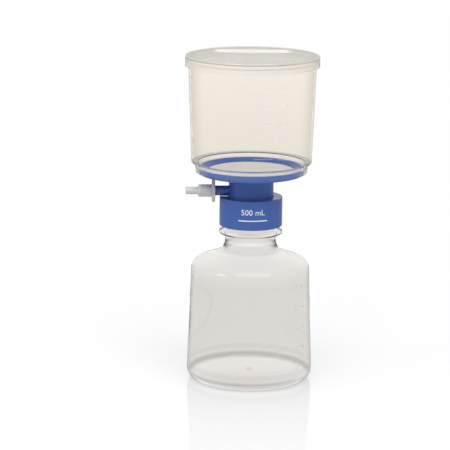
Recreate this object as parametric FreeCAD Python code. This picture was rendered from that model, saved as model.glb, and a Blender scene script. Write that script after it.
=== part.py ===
"""Vacuum filtration unit, 500 mL: a filter head screwed onto a receiver bottle.

Frame: the origin is the centre of the bottle's foot, +Z is up, and the vacuum port points along -X.
All sizes are in millimetres. Every round piece is an outline of (radius, height, corner rounding)
turned about the unit's axis.
"""

import FreeCAD, Part
import math
import os

# Receiver bottle: a blown shell with a push-up foot
BOTTLE_WALL = 1.4
SIDE_FOOT_R = 51.0  # the side wall's line, extended down to the floor
SIDE_TAPER = 0.037  # radius lost for each millimetre of height
HEEL_ROUND = 9.0
PUSH_UP_Z = 5.4
PUSH_UP_FLAT_R = 16.0
PUSH_UP_FLAT_ROUND = 90.0
PUSH_UP_EDGE_R = 31.0
PUSH_UP_EDGE_Z = 1.9
PUSH_UP_EDGE_ROUND = 40.0
FOOT_INNER_R = 38.5
FOOT_ROUND = 8.0
SHOULDER_ROUND = 8.7
SHOULDER_SLOPE = math.tan(math.radians(20.2))
SHOULDER_Z = 97.2
NECK_FILLET = 10.0
WAIST_R = 20.6
WAIST_TOP_Z = 120.0
NECK_RING_R = 25.2
NECK_RING_Z = 120.4
NECK_RING_TOP_Z = 123.4
NECK_RING_FALL = 0.4  # how far the ring's top rises towards the neck
NECK_RING_ROUND = 0.6
NECK_R = 20.7
NECK_BORE_R = 18.6
LIP_Z = 144.5
LIP_ROUND = 0.4

# Soft gasket between the bottle's lip and the base's bottom flange
GASKET_INNER_R = 17.6
GASKET_R = 21.4
GASKET_THICKNESS = 1.5

# Filter base: dish, spout, hub, bottom flange and side port in one moulding
FLANGE_R = 21.9
FLANGE_THICKNESS = 2.0
HUB_R = 18.0
HUB_WALL = 1.6
HUB_FILLET = 1.5
DISH_R = 41.7
DISH_BOTTOM_Z = 168.7
DISH_RIM_Z = 174.6
DISH_RIM_INNER_R = 40.4
DISH_FLOOR_Z = 170.0
DISH_FLOOR_FALL = 0.3
SEAT_R = 34.8
SEAT_INNER_R = 33.2
SPOUT_R = 6.0
SPOUT_BORE_R = 4.5
SPOUT_TIP_Z = 138.0
SUPPORT_RINGS = 6
SUPPORT_RING_PITCH = 4.2
SUPPORT_RING_FIRST_R = 8.0
SUPPORT_RING_WIDTH = 0.9
DRAIN_CHANNELS = 8
DRAIN_CHANNEL_WIDTH = 2.4
PORT_Z = 154.8
PORT_R = 4.0
PORT_BORE_R = 2.7
PORT_END = 36.0  # distance from the unit's axis

# Membrane, held at its edge on the base's seat
MEMBRANE_R = 34.3
MEMBRANE_THICKNESS = 0.3
MEMBRANE_TOP_Z = 171.7

# Tube adapter, pushed over the port; distances run from the unit's axis out along the port
ADAPTER_DISC_R = 9.2
ADAPTER_DISC_NEAR = 29.2
ADAPTER_DISC_FAR = 31.4
LARGE_NOZZLE_R = 5.0
LARGE_NOZZLE_END = 41.8
SMALL_NOZZLE_R = 3.0
SMALL_NOZZLE_START = 43.0
NOZZLE_TIP = 52.6
NOZZLE_BORE_R = 1.7
SOCKET_CLEARANCE = 0.05
SOCKET_END = 40.2
PLUG_LENGTH = 3.6

# Screw collar, turning on the hub above the flange
COLLAR_R = 25.25
COLLAR_BORE_R = 22.75
COLLAR_BOTTOM_Z = 126.9
COLLAR_TOP_Z = 150.3
COLLAR_HOLE_CLEARANCE = 0.35
COLLAR_TOP_ROUND = 0.8
COLLAR_BOTTOM_CHAMFER = 0.5

# Upper chamber
CHAMBER_WALL = 1.5
CHAMBER_TOP_R = 51.1
CHAMBER_TOP_Z = 262.8
CHAMBER_BOTTOM_R = 48.2
CHAMBER_STEP_Z = 178.2
CHAMBER_RIM_R = 52.1
CHAMBER_RIM_HEIGHT = 3.3
STEP_ROUND = 1.0
SKIRT_TOP_R = 46.0
SKIRT_TOP_Z = 177.6
SKIRT_BOTTOM_R = 44.3
SKIRT_BOTTOM_Z = 170.4
SKIRT_BEAD_R = 44.7
SKIRT_BEAD_HEIGHT = 1.1
SKIRT_INNER_R = 42.1
LEDGE_INNER_R = 40.2
LEDGE_TOP_Z = 176.0
CHAMBER_FLOOR_Z = 179.5

# Lid
LID_R = 53.5
LID_TOP_Z = 264.0
LID_SKIRT_BOTTOM_Z = 255.6
LID_SKIRT_INNER_R = 52.5
LID_LEAD_IN_R = 52.8
LID_LEAD_IN_HEIGHT = 2.2
LID_PLUG_R = 49.2
LID_PLUG_Z = 262.5
LID_DISH = 0.5  # how far the middle of the lid lies below its edge
LID_DISH_ROUND = 2300.0
LID_GRIP_RIBS = 8
LID_GRIP_RIB_WIDTH = 1.6
LID_GRIP_RIB_DEPTH = 0.3
LID_TURN = -3.3  # how far the loose lid is turned about the axis

# Roundings of moulded edges
FINE_ROUND = 0.3
RIM_ROUND = 0.4
GRIP_ROUND = 0.5
LID_EDGE_ROUND = 0.8
DISH_EDGE_ROUND = 0.8

FULL_TURN = 360.0
QUARTER_TURN = 90.0
CUBIC_MM_PER_CM = 1000.0
AXIS_POINT = FreeCAD.Vector(0, 0, 0)
UP = FreeCAD.Vector(0, 0, 1)


def unit_step(start, end):
    """Direction and length of the run from one (radius, height) point to another."""
    length = math.hypot(end[0] - start[0], end[1] - start[1])
    return ((end[0] - start[0]) / length, (end[1] - start[1]) / length), length


def in_plane(point):
    """A (radius, height) point as a vector in the XZ plane."""
    return FreeCAD.Vector(point[0], 0, point[1])


def corner_arc(before, corner, after, rounding):
    """Start, middle and end of the arc that rounds one corner of an outline."""
    back, _ = unit_step(corner, before)
    ahead, _ = unit_step(corner, after)
    half_angle = math.acos(back[0] * ahead[0] + back[1] * ahead[1]) / 2
    reach = rounding / math.tan(half_angle)
    gap = rounding / math.sin(half_angle) - rounding
    inwards, _ = unit_step((0, 0), (back[0] + ahead[0], back[1] + ahead[1]))
    start = (corner[0] + reach * back[0], corner[1] + reach * back[1])
    middle = (corner[0] + gap * inwards[0], corner[1] + gap * inwards[1])
    end = (corner[0] + reach * ahead[0], corner[1] + reach * ahead[1])
    return start, middle, end


def outline_face(corners):
    """Flat face bounded by straight runs, each corner rounded by its own third value."""
    edges = []
    arcs = []
    for index, corner in enumerate(corners):
        if corner[2] > 0:
            before = corners[index - 1]
            after = corners[(index + 1) % len(corners)]
            arcs.append(corner_arc(before, corner, after, corner[2]))
        else:
            arcs.append((corner, corner, corner))
    for index, (start, middle, end) in enumerate(arcs):
        previous_end = arcs[index - 1][2]
        edges.append(Part.makeLine(in_plane(previous_end), in_plane(start)))
        if start is not end:
            edges.append(Part.Arc(in_plane(start), in_plane(middle), in_plane(end)).toShape())
    return Part.Face(Part.Wire(edges))


def turned(corners):
    """Solid made by turning a closed outline about the unit's axis."""
    return outline_face(corners).revolve(AXIS_POINT, UP, FULL_TURN)


def ring(inner_r, outer_r, bottom_z, top_z):
    """Plain flat ring."""
    return turned([(inner_r, bottom_z, 0), (outer_r, bottom_z, 0), (outer_r, top_z, 0), (inner_r, top_z, 0)])


def crossing(first, second, wall):
    """Point where two runs meet after each has moved to its left by the wall."""
    (a, b), (c, d) = first, second
    step_one, _ = unit_step(a, b)
    step_two, _ = unit_step(c, d)
    start = (a[0] - wall * step_one[1], a[1] + wall * step_one[0])
    other = (c[0] - wall * step_two[1], c[1] + wall * step_two[0])
    turn = step_one[0] * step_two[1] - step_one[1] * step_two[0]
    along = ((other[0] - start[0]) * step_two[1] - (other[1] - start[1]) * step_two[0]) / turn
    return (start[0] + along * step_one[0], start[1] + along * step_one[1]), turn


def inner_chain(corners, wall):
    """Inside corners of a shell of even wall, for an open chain that keeps the inside on its left."""
    inside = []
    for before, corner, after in zip(corners, corners[1:], corners[2:]):
        point, turn = crossing((before, corner), (corner, after), wall)
        rounding = corner[2] - wall if turn > 0 else corner[2] + wall
        inside.append((point[0], point[1], rounding))
    return inside


def along_port(solid):
    """Lays a solid turned about Z along the port: its height becomes distance out along -X."""
    laid = solid.copy()
    laid.rotate(AXIS_POINT, FreeCAD.Vector(0, 1, 0), -QUARTER_TURN)
    laid.translate(FreeCAD.Vector(0, 0, PORT_Z))
    return laid


def side_radius(height):
    """Outside radius of the bottle's tapered side at one height."""
    return SIDE_FOOT_R - SIDE_TAPER * height


def bottle_body_corners():
    """Outside of the bottle from the middle of its push-up foot to the bottom of its neck."""
    shoulder_r = side_radius(SHOULDER_Z)
    shoulder_top_z = SHOULDER_Z + (shoulder_r - WAIST_R) * SHOULDER_SLOPE
    return [
        (0, PUSH_UP_Z, 0),
        (PUSH_UP_FLAT_R, PUSH_UP_Z, PUSH_UP_FLAT_ROUND),
        (PUSH_UP_EDGE_R, PUSH_UP_EDGE_Z, PUSH_UP_EDGE_ROUND),
        (FOOT_INNER_R, 0, FOOT_ROUND),
        (SIDE_FOOT_R, 0, HEEL_ROUND),
        (shoulder_r, SHOULDER_Z, SHOULDER_ROUND),
        (WAIST_R, shoulder_top_z, NECK_FILLET),
        (WAIST_R, WAIST_TOP_Z, NECK_RING_ROUND),
    ]


def receiver_bottle():
    """Clear bottle with a push-up foot, a sloped shoulder and a waisted neck with a ring below its lip."""
    body = bottle_body_corners()
    neck = [
        (NECK_RING_R, NECK_RING_Z, NECK_RING_ROUND),
        (NECK_RING_R, NECK_RING_TOP_Z, NECK_RING_ROUND),
        (NECK_R, NECK_RING_TOP_Z + NECK_RING_FALL, NECK_RING_ROUND),
        (NECK_R, LIP_Z, LIP_ROUND),
        (NECK_BORE_R, LIP_Z, LIP_ROUND),
    ]
    inside = inner_chain(body, BOTTLE_WALL)
    shoulder = inside[-2]
    bore_bottom_z = shoulder[1] + (shoulder[0] - NECK_BORE_R) * SHOULDER_SLOPE
    bore = (NECK_BORE_R, bore_bottom_z, NECK_FILLET)
    floor_middle = (0, PUSH_UP_Z + BOTTLE_WALL, 0)
    return turned(body + neck + [bore] + inside[-2::-1] + [floor_middle])


def neck_gasket():
    """Soft ring on the bottle's lip."""
    return ring(GASKET_INNER_R, GASKET_R, LIP_Z, LIP_Z + GASKET_THICKNESS)


def base_shell():
    """Dish, spout, hub and bottom flange as one turned shell."""
    flange_bottom_z = LIP_Z + GASKET_THICKNESS
    flange_top_z = flange_bottom_z + FLANGE_THICKNESS
    seat_z = MEMBRANE_TOP_Z - MEMBRANE_THICKNESS
    hub_inner_r = HUB_R - HUB_WALL
    return turned([
        (SPOUT_BORE_R, SPOUT_TIP_Z, 0),
        (SPOUT_R, SPOUT_TIP_Z, 0),
        (SPOUT_R, DISH_BOTTOM_Z, HUB_FILLET),
        (hub_inner_r, DISH_BOTTOM_Z, HUB_FILLET),
        (hub_inner_r, flange_bottom_z, 0),
        (FLANGE_R, flange_bottom_z, 0),
        (FLANGE_R, flange_top_z, 0),
        (HUB_R, flange_top_z, 0),
        (HUB_R, DISH_BOTTOM_Z, HUB_FILLET),
        (DISH_R, DISH_BOTTOM_Z, DISH_EDGE_ROUND),
        (DISH_R, DISH_RIM_Z, 0),
        (DISH_RIM_INNER_R, DISH_RIM_Z, 0),
        (SEAT_R, MEMBRANE_TOP_Z, 0),
        (SEAT_R, seat_z, 0),
        (SEAT_INNER_R, seat_z, 0),
        (SEAT_INNER_R, DISH_FLOOR_Z, 0),
        (SPOUT_BORE_R, DISH_FLOOR_Z - DISH_FLOOR_FALL, 0),
    ])


def support_rings():
    """Low rings under the membrane, cut through by drain channels that run to the spout."""
    seat_z = MEMBRANE_TOP_Z - MEMBRANE_THICKNESS
    root_z = (DISH_BOTTOM_Z + DISH_FLOOR_Z) / 2
    radii = [SUPPORT_RING_FIRST_R + SUPPORT_RING_PITCH * index for index in range(SUPPORT_RINGS)]
    rings = Part.Compound([ring(r, r + SUPPORT_RING_WIDTH, root_z, seat_z) for r in radii])
    for index in range(DRAIN_CHANNELS // 2):
        channel = Part.makeBox(
            2 * SEAT_R, DRAIN_CHANNEL_WIDTH, seat_z - root_z,
            FreeCAD.Vector(-SEAT_R, -DRAIN_CHANNEL_WIDTH / 2, root_z),
        )
        channel.rotate(AXIS_POINT, UP, FULL_TURN * (index + 0.5) / DRAIN_CHANNELS)
        rings = rings.cut(channel)
    return rings


def filter_base():
    """Blue moulding that carries the membrane, drains it and holds the side port."""
    base = base_shell().fuse(support_rings().Solids)
    hub_inner_r = HUB_R - HUB_WALL
    port = Part.makeCylinder(PORT_R, PORT_END - hub_inner_r, FreeCAD.Vector(0, 0, hub_inner_r))
    bore = Part.makeCylinder(PORT_BORE_R, PORT_END - SPOUT_R, FreeCAD.Vector(0, 0, SPOUT_R + HUB_FILLET))
    hub_inside = Part.makeCylinder(hub_inner_r, 2 * PORT_R, FreeCAD.Vector(0, 0, PORT_Z - PORT_R))
    port = along_port(port).cut(hub_inside)
    return base.fuse(port).cut(along_port(bore)).removeSplitter()


def filter_membrane():
    """Thin disc on the seat and the support rings."""
    return Part.makeCylinder(
        MEMBRANE_R, MEMBRANE_THICKNESS, FreeCAD.Vector(0, 0, MEMBRANE_TOP_Z - MEMBRANE_THICKNESS)
    )


def tube_adapter():
    """Stepped nozzle with a grip disc and a socket that slides over the port."""
    socket_r = PORT_R + SOCKET_CLEARANCE
    return along_port(turned([
        (socket_r, ADAPTER_DISC_NEAR, 0),
        (ADAPTER_DISC_R, ADAPTER_DISC_NEAR, GRIP_ROUND),
        (ADAPTER_DISC_R, ADAPTER_DISC_FAR, GRIP_ROUND),
        (LARGE_NOZZLE_R, ADAPTER_DISC_FAR, GRIP_ROUND),
        (LARGE_NOZZLE_R, LARGE_NOZZLE_END, FINE_ROUND),
        (SMALL_NOZZLE_R, SMALL_NOZZLE_START, FINE_ROUND),
        (SMALL_NOZZLE_R, NOZZLE_TIP, RIM_ROUND),
        (NOZZLE_BORE_R, NOZZLE_TIP, 0),
        (NOZZLE_BORE_R, SOCKET_END, 0),
        (socket_r, SOCKET_END, 0),
    ]))


def adapter_plug():
    """Porous plug at the end of the adapter's socket."""
    radius = PORT_R + SOCKET_CLEARANCE
    return along_port(
        Part.makeCylinder(radius, PLUG_LENGTH, FreeCAD.Vector(0, 0, SOCKET_END - PLUG_LENGTH))
    )


def neck_collar():
    """Collar that turns on the hub and draws the flange down on the bottle's lip."""
    flange_top_z = LIP_Z + GASKET_THICKNESS + FLANGE_THICKNESS
    hole_r = HUB_R + COLLAR_HOLE_CLEARANCE
    return turned([
        (COLLAR_BORE_R, COLLAR_BOTTOM_Z, 0),
        (COLLAR_R - COLLAR_BOTTOM_CHAMFER, COLLAR_BOTTOM_Z, 0),
        (COLLAR_R, COLLAR_BOTTOM_Z + COLLAR_BOTTOM_CHAMFER, 0),
        (COLLAR_R, COLLAR_TOP_Z, COLLAR_TOP_ROUND),
        (hole_r, COLLAR_TOP_Z, 0),
        (hole_r, flange_top_z, 0),
        (COLLAR_BORE_R, flange_top_z, 0),
    ])


def upper_chamber():
    """Clear conical chamber with a rim bead, a step and a skirt around the base's dish."""
    rim_bottom_z = CHAMBER_TOP_Z - CHAMBER_RIM_HEIGHT
    return turned([
        (LEDGE_INNER_R, DISH_RIM_Z, 0),
        (SKIRT_INNER_R, DISH_RIM_Z, 0),
        (SKIRT_INNER_R, SKIRT_BOTTOM_Z, 0),
        (SKIRT_BEAD_R, SKIRT_BOTTOM_Z, FINE_ROUND),
        (SKIRT_BEAD_R, SKIRT_BOTTOM_Z + SKIRT_BEAD_HEIGHT, FINE_ROUND),
        (SKIRT_BOTTOM_R, SKIRT_BOTTOM_Z + SKIRT_BEAD_HEIGHT, 0),
        (SKIRT_TOP_R, SKIRT_TOP_Z, RIM_ROUND),
        (CHAMBER_BOTTOM_R, CHAMBER_STEP_Z, STEP_ROUND),
        (CHAMBER_TOP_R, rim_bottom_z, 0),
        (CHAMBER_RIM_R, rim_bottom_z, RIM_ROUND),
        (CHAMBER_RIM_R, CHAMBER_TOP_Z, RIM_ROUND),
        (CHAMBER_TOP_R - CHAMBER_WALL, CHAMBER_TOP_Z, RIM_ROUND),
        (CHAMBER_BOTTOM_R - CHAMBER_WALL, CHAMBER_FLOOR_Z, STEP_ROUND),
        (LEDGE_INNER_R, LEDGE_TOP_Z, RIM_ROUND),
    ])


def lid():
    """Loose, slightly dished lid with a skirt over the chamber's rim and ribs inside that centre it."""
    lead_in_z = LID_SKIRT_BOTTOM_Z + LID_LEAD_IN_HEIGHT
    disc = turned([
        (0, LID_PLUG_Z - LID_DISH, 0),
        (LID_PLUG_R / 2, LID_PLUG_Z - LID_DISH, LID_DISH_ROUND),
        (LID_PLUG_R, LID_PLUG_Z, 0),
        (LID_PLUG_R, CHAMBER_TOP_Z, 0),
        (LID_SKIRT_INNER_R, CHAMBER_TOP_Z, 0),
        (LID_SKIRT_INNER_R, lead_in_z, 0),
        (LID_LEAD_IN_R, lead_in_z, 0),
        (LID_LEAD_IN_R, LID_SKIRT_BOTTOM_Z, 0),
        (LID_R, LID_SKIRT_BOTTOM_Z, FINE_ROUND),
        (LID_R, LID_TOP_Z, LID_EDGE_ROUND),
        (LID_R / 2, LID_TOP_Z - LID_DISH, LID_DISH_ROUND),
        (0, LID_TOP_Z - LID_DISH, 0),
    ])
    return disc.fuse(lid_grip_ribs())


def lid_grip_ribs():
    """Upright ribs inside the lid's skirt, spaced evenly."""
    inner_r = LID_SKIRT_INNER_R - LID_GRIP_RIB_DEPTH
    lead_in_z = LID_SKIRT_BOTTOM_Z + LID_LEAD_IN_HEIGHT
    band = ring(inner_r, LID_SKIRT_INNER_R + LID_GRIP_RIB_DEPTH, lead_in_z, CHAMBER_TOP_Z)
    ribs = []
    for index in range(LID_GRIP_RIBS):
        slab = Part.makeBox(
            LID_R, LID_GRIP_RIB_WIDTH, LID_TOP_Z,
            FreeCAD.Vector(0, -LID_GRIP_RIB_WIDTH / 2, 0),
        )
        slab.rotate(AXIS_POINT, UP, LID_TURN + FULL_TURN * (index + 0.5) / LID_GRIP_RIBS)
        ribs.append(band.common(slab))
    return ribs


PIECES = {
    "receiver_bottle": receiver_bottle,
    "neck_gasket": neck_gasket,
    "neck_collar": neck_collar,
    "filter_base": filter_base,
    "filter_membrane": filter_membrane,
    "tube_adapter": tube_adapter,
    "adapter_plug": adapter_plug,
    "upper_chamber": upper_chamber,
    "lid": lid,
}


def main():
    """Builds every piece and writes one STEP file for each."""
    os.makedirs("parts", exist_ok=True)
    for name, build in PIECES.items():
        solid = build()
        if not solid.isValid() or len(solid.Solids) != 1:
            raise ValueError(name + " is not one valid solid")
        solid.exportStep("parts/" + name + ".step")
        print(name, round(solid.Volume / CUBIC_MM_PER_CM, 2), "cm3")


main()
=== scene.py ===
"""Vacuum filtration unit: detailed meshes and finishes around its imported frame.

Sizes are in millimetres and become metres when a mesh is finished. Heights are counted from the lowest
point of the piece's own frame node. Azimuths are in degrees from the front, -Y, positive towards +X.
"""

import logging
import math
from dataclasses import dataclass, replace
from enum import Enum
from typing import Callable, Iterable, Sequence

import bmesh
import bpy
from mathutils import Matrix, Vector


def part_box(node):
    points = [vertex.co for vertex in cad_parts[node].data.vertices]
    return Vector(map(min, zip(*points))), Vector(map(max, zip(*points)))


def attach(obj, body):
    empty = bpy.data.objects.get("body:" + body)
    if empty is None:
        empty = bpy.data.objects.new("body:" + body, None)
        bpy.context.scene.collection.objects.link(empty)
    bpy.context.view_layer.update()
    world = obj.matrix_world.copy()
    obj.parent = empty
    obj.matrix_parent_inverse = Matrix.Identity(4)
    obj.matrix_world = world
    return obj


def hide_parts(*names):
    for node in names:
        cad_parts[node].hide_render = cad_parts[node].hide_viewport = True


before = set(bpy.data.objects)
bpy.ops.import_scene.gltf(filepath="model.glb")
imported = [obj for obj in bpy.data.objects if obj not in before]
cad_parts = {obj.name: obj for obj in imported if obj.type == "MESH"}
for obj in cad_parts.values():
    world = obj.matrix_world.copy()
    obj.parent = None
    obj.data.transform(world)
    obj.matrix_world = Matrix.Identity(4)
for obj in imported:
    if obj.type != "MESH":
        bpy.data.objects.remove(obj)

LOG = logging.getLogger("filtration_unit")
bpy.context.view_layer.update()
MM = 0.001
MERGE_DISTANCE = 1e-7
SHARP_ANGLE = math.radians(32)

Colour = tuple[float, float, float]
Point = tuple[float, float, float]


# ---------------------------------------------------------------------------------------------------
# Shapes turned from outlines
# ---------------------------------------------------------------------------------------------------


@dataclass(frozen=True)
class Corner:
    """One corner of an outline.

    Args:
        radius: Distance from the turning axis.
        height: Height above the piece's lowest point.
        rounding: Radius of the arc that rounds the corner.
    """

    radius: float
    height: float
    rounding: float = 0.0


def step_between(start: Corner, end: Corner) -> Vector:
    """Unit step from one corner to another in the plane of radius and height."""
    return Vector((end.radius - start.radius, end.height - start.height)).normalized()


def moved_inwards(chain: Sequence[Corner], wall: float) -> list[Corner]:
    """Inside corners of a wall of even thickness.

    Args:
        chain: Outside corners, walked with the inside on the left.
        wall: Thickness of the wall.

    Returns:
        One inside corner for each corner between the chain's two ends.
    """
    inside = []
    for before, corner, after in zip(chain, chain[1:], chain[2:]):
        one, two = step_between(before, corner), step_between(corner, after)
        turn = one.cross(two)
        bend = math.tan(one.angle(two, 0.0) / 2) * (1 if turn > 0 else -1)
        shift = wall * (Vector((-one.y, one.x)) - bend * one)
        rounding = corner.rounding + (-wall if turn > 0 else wall)
        inside.append(Corner(corner.radius + shift.x, corner.height + shift.y, max(rounding, 0.0)))
    return inside


def dished(edge: Corner, depth: float, steps: int = 10) -> list[Corner]:
    """Corners of a shallow dish, from the axis out to its edge.

    Args:
        edge: The corner at the dish's edge.
        depth: How far the middle lies below the edge.
        steps: Number of steps to the edge.

    Returns:
        The corners, the edge last.
    """
    inner = []
    for step in range(steps):
        share = step / steps
        inner.append(Corner(edge.radius * share, edge.height - depth * (1 - share * share)))
    return inner + [edge]


def sliced(bm: bmesh.types.BMesh, place: Point, normal: Point, distance: float) -> None:
    """Adds edges where a plane cuts a mesh.

    Args:
        bm: The mesh.
        place: A point on the plane.
        normal: The plane's normal.
        distance: How near the plane a vertex counts as on it.
    """
    bmesh.ops.bisect_plane(
        bm, geom=bm.verts[:] + bm.edges[:] + bm.faces[:], dist=distance, plane_co=place, plane_no=normal,
    )


class Turned:
    """A mesh turned about the Z axis from a closed outline with rounded corners."""

    ARC_STEP = math.radians(11)

    def __init__(self, outline: Sequence[Corner], low: float = 0.0, segments: int = 128) -> None:
        """Builds the turned surface.

        Args:
            outline: Corners of the cross-section. Corners on the axis stay open there.
            low: Height of the piece's lowest point above the floor.
            segments: Number of steps around the axis.
        """
        self.bm = bmesh.new()
        self._draw_outline(outline, low)
        self._spin(segments)

    def _draw_outline(self, outline: Sequence[Corner], low: float) -> None:
        """Draws the cross-section as one face, rounds its corners and keeps its edges.

        Args:
            outline: Corners of the cross-section.
            low: Height of the piece's lowest point above the floor.
        """
        bm = self.bm
        corners = [bm.verts.new((c.radius * MM, 0.0, (low + c.height) * MM)) for c in outline]
        bm.faces.new(corners)
        for index, (vert, corner) in enumerate(zip(corners, outline)):
            if corner.rounding <= 0:
                continue
            following = outline[(index + 1) % len(outline)]
            turn = step_between(outline[index - 1], corner).angle(step_between(corner, following))
            bmesh.ops.bevel(
                bm, geom=[vert], offset=corner.rounding * math.tan(turn / 2) * MM, offset_type="OFFSET",
                segments=max(4, math.ceil(turn / self.ARC_STEP)), profile=0.5, affect="VERTICES",
                material=-1,
            )
        bmesh.ops.delete(bm, geom=bm.faces[:], context="FACES_ONLY")
        on_axis = [e for e in bm.edges if all(abs(v.co.x) < MERGE_DISTANCE for v in e.verts)]
        bmesh.ops.delete(bm, geom=on_axis, context="EDGES")

    def _spin(self, segments: int) -> None:
        """Turns the cross-section a full turn and closes its poles.

        Args:
            segments: Number of steps around the axis.
        """
        bmesh.ops.spin(
            self.bm, geom=self.bm.verts[:] + self.bm.edges[:], cent=(0, 0, 0), axis=(0, 0, 1),
            dvec=(0, 0, 0), angle=math.tau, steps=segments, use_merge=True, use_duplicate=False,
        )
        bmesh.ops.remove_doubles(self.bm, verts=self.bm.verts, dist=MERGE_DISTANCE)
        bmesh.ops.recalc_face_normals(self.bm, faces=self.bm.faces)

    def cut_levels(self, heights: Iterable[float]) -> "Turned":
        """Adds loops of edges, so that the wall can be shaped or dressed between them.

        Args:
            heights: Height of each loop above the floor.

        Returns:
            This turned mesh.
        """
        for height in heights:
            sliced(self.bm, (0, 0, height * MM), (0, 0, 1), MERGE_DISTANCE)
        return self

    def reshape(self, move: Callable[[Vector], Vector]) -> "Turned":
        """Moves every vertex.

        Args:
            move: Gives a vertex's new place from its old one.

        Returns:
            This turned mesh.
        """
        for vert in self.bm.verts:
            vert.co = move(vert.co)
        return self


def screw_ridge(root_r: float, crest_r: float, width: float, low: float, pitch: float, turns: float,
                segments: int = 72, overlap: float = 0.3, fade: float = 6.0) -> bmesh.types.BMesh:
    """A helical ridge, tapered out at both ends.

    Args:
        root_r: Radius of the surface that carries the ridge.
        crest_r: Radius of the ridge's crest; smaller than root_r for an inside thread.
        width: Width of the ridge at its root.
        low: Height at which the ridge starts.
        pitch: Rise for each turn.
        turns: Number of turns.
        segments: Number of steps for each turn.
        overlap: How far the ridge's root lies inside the surface.
        fade: How many times its tapered end fits into its length.

    Returns:
        A closed mesh in metres.
    """
    bm = bmesh.new()
    side = 1 if crest_r > root_r else -1
    sunk = root_r - overlap * side
    section = [(sunk, -width / 2), (crest_r, -width / 6), (crest_r, width / 6), (sunk, width / 2)]
    face = bm.faces.new([bm.verts.new((r * MM, 0.0, (low + z) * MM)) for r, z in section])
    steps = round(segments * turns)
    bmesh.ops.spin(
        bm, geom=list(face.verts) + list(face.edges) + [face], cent=(0, 0, 0), axis=(0, 0, 1),
        dvec=(0, 0, pitch * turns / steps * MM), angle=math.tau * turns, steps=steps,
        use_merge=False, use_duplicate=False,
    )
    rise = pitch * turns * MM
    for vert in bm.verts:
        share = (vert.co.z / MM - low) * MM / rise
        taper = min(1.0, fade * max(0.0, min(share, 1.0 - share)))
        radius = math.hypot(vert.co.x, vert.co.y)
        wanted = sunk * MM + (radius - sunk * MM) * taper
        vert.co.x *= wanted / radius
        vert.co.y *= wanted / radius
    bmesh.ops.recalc_face_normals(bm, faces=bm.faces)
    return bm


def joined(parts: Iterable[bmesh.types.BMesh]) -> bmesh.types.BMesh:
    """One mesh that holds all the given ones.

    Args:
        parts: The meshes, which are freed.

    Returns:
        The whole.
    """
    whole = bmesh.new()
    for part in parts:
        mesh = bpy.data.meshes.new("part")
        part.to_mesh(mesh)
        part.free()
        whole.from_mesh(mesh)
        bpy.data.meshes.remove(mesh)
    return whole


def placed(name: str, data: bpy.types.ID) -> bpy.types.Object:
    """A new object in the scene.

    Args:
        name: Its name.
        data: The mesh, curve, lamp or camera that it shows.

    Returns:
        The object.
    """
    made = bpy.data.objects.new(name, data)
    bpy.context.scene.collection.objects.link(made)
    return made


# ---------------------------------------------------------------------------------------------------
# Marks: numerals and lines that follow a round wall
# ---------------------------------------------------------------------------------------------------


@dataclass(frozen=True)
class RoundWall:
    """A wall of revolution that marks lie on.

    Args:
        foot_r: Radius at height zero.
        slope: Change of radius for each millimetre of height.
    """

    foot_r: float
    slope: float = 0.0

    def place(self, across: float, height: float, proud: float, azimuth: float) -> Vector:
        """Point on the wall, in metres.

        Args:
            across: Distance along the wall to the right of the mark's middle.
            height: Height above the floor.
            proud: Distance out from the wall.
            azimuth: Direction of the mark's middle, in degrees from the front.

        Returns:
            The point.
        """
        radius = self.foot_r + self.slope * height
        angle = math.radians(azimuth) + across / radius
        out = radius + proud
        return Vector((out * math.sin(angle), -out * math.cos(angle), height)) * MM


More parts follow.
